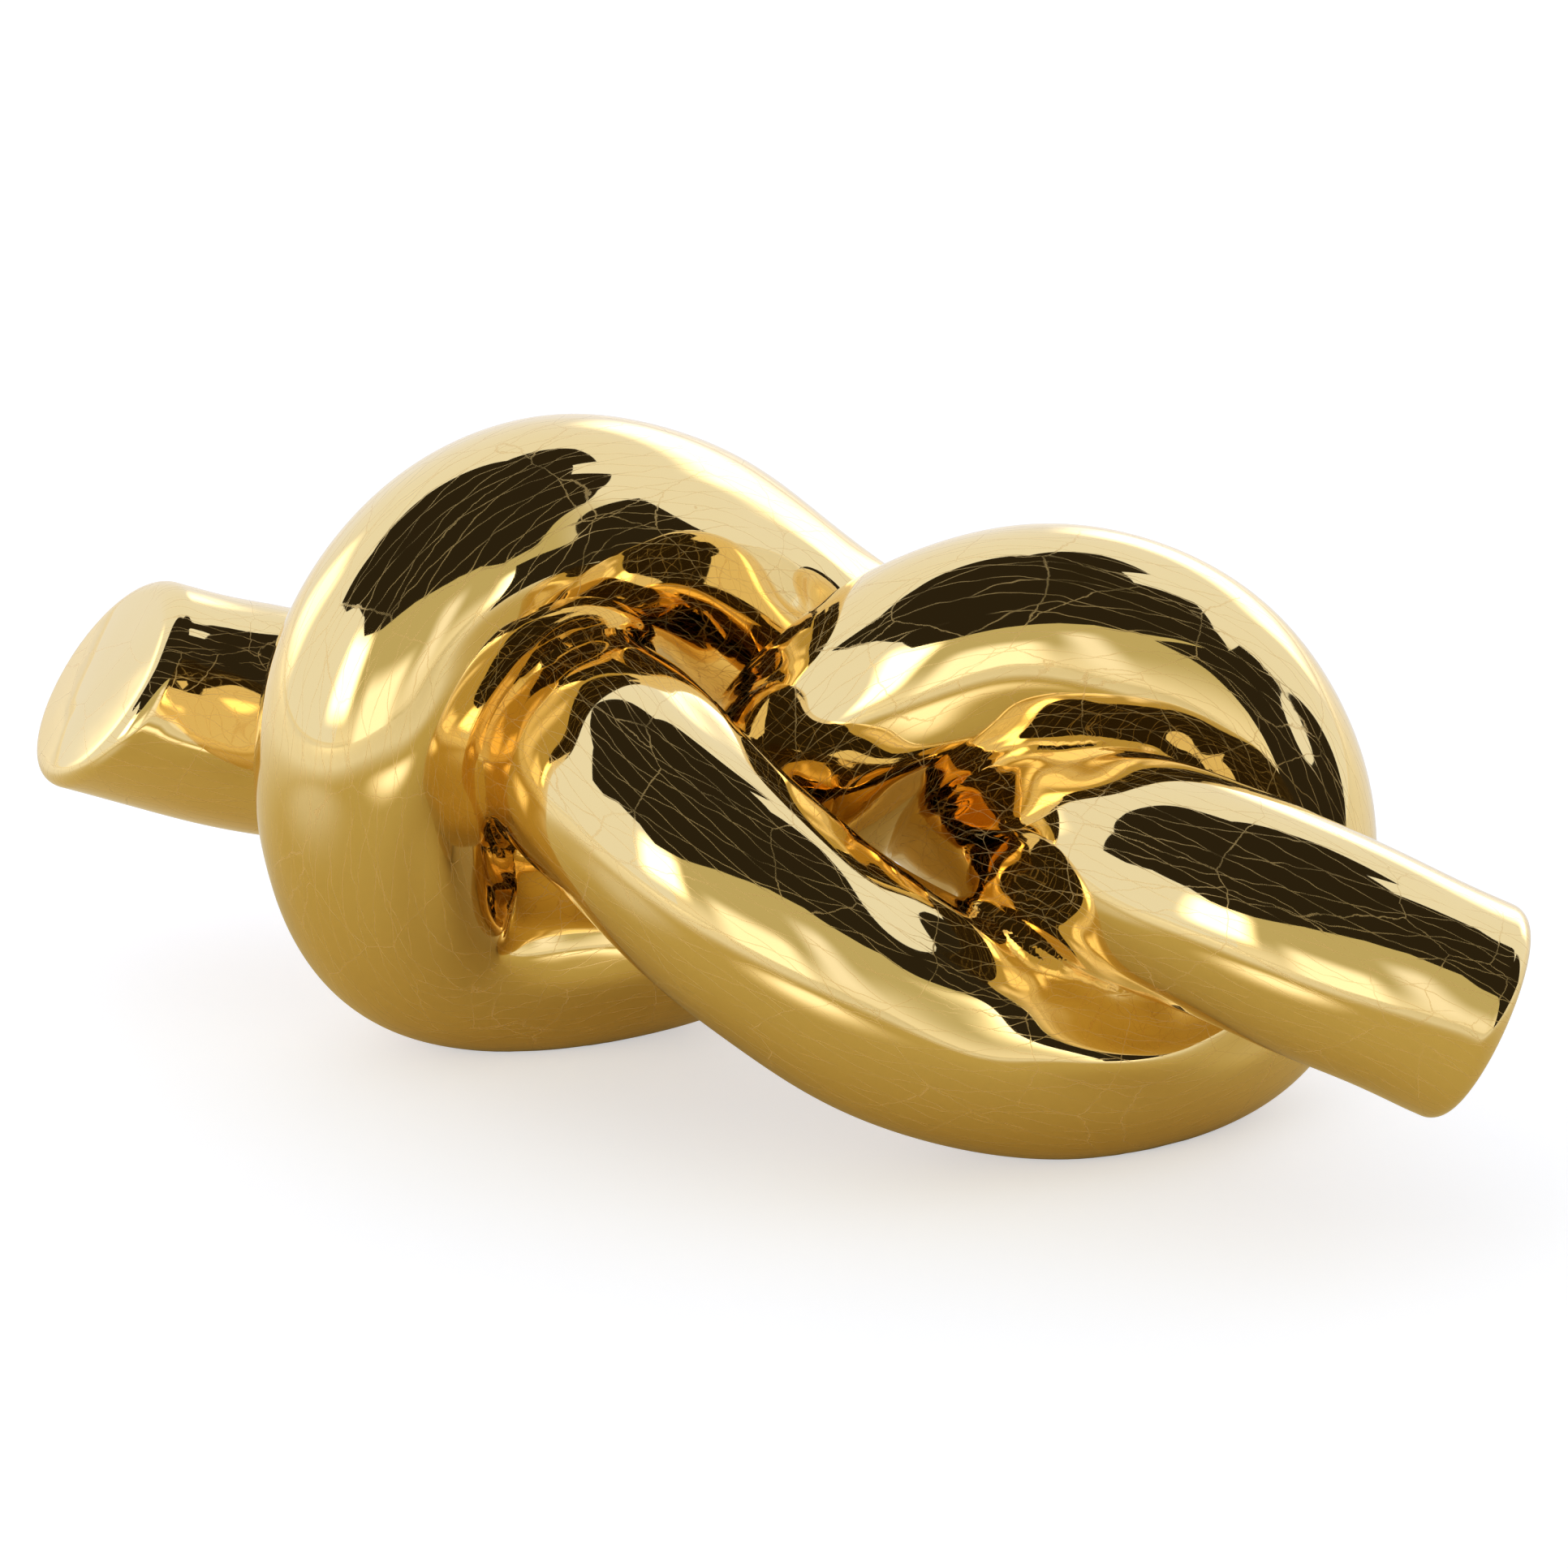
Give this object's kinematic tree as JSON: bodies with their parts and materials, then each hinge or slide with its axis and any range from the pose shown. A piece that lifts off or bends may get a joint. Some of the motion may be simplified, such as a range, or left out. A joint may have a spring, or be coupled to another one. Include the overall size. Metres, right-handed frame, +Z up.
{
  "type": "ceramic knot sculpture",
  "caption": "Thick hollow ceramic rope tied in a figure-eight knot with closed flat-cut ends, glazed in mirror gold lustre and standing on ground feet with felt pads.",
  "frame": {"origin": "On the surface that the knot stands on, under the middle of its outline seen from above.", "axes": "+X along the knot towards its right end as seen from the front, +Y to the back, +Z up."},
  "size_m": [0.4197, 0.1754, 0.1695],
  "materials": {
    "gold_lustre_glaze": "fired gold lustre over a glossy glaze, mirror bright, finely crazed",
    "fired_slip": "fired slip, covered by the glaze and lustre",
    "brown_felt": "dark brown wool felt"
  },
  "bodies": {
    "root": {"left_end_tube": "gold_lustre_glaze", "front_strand": "gold_lustre_glaze", "right_bight": "gold_lustre_glaze", "left_bight": "gold_lustre_glaze", "right_end_tube": "gold_lustre_glaze", "left_end_disc": "gold_lustre_glaze", "right_end_disc": "gold_lustre_glaze", "left_end_slip_joint": "fired_slip", "front_slip_joint": "fired_slip", "middle_slip_joint": "fired_slip", "back_slip_joint": "fired_slip", "left_disc_slip_joint": "fired_slip", "right_disc_slip_joint": "fired_slip", "left_foot_left_felt_pad": "brown_felt", "left_foot_right_felt_pad": "brown_felt", "right_foot_left_felt_pad": "brown_felt", "right_foot_right_felt_pad": "brown_felt"}
  },
  "joints": []
}
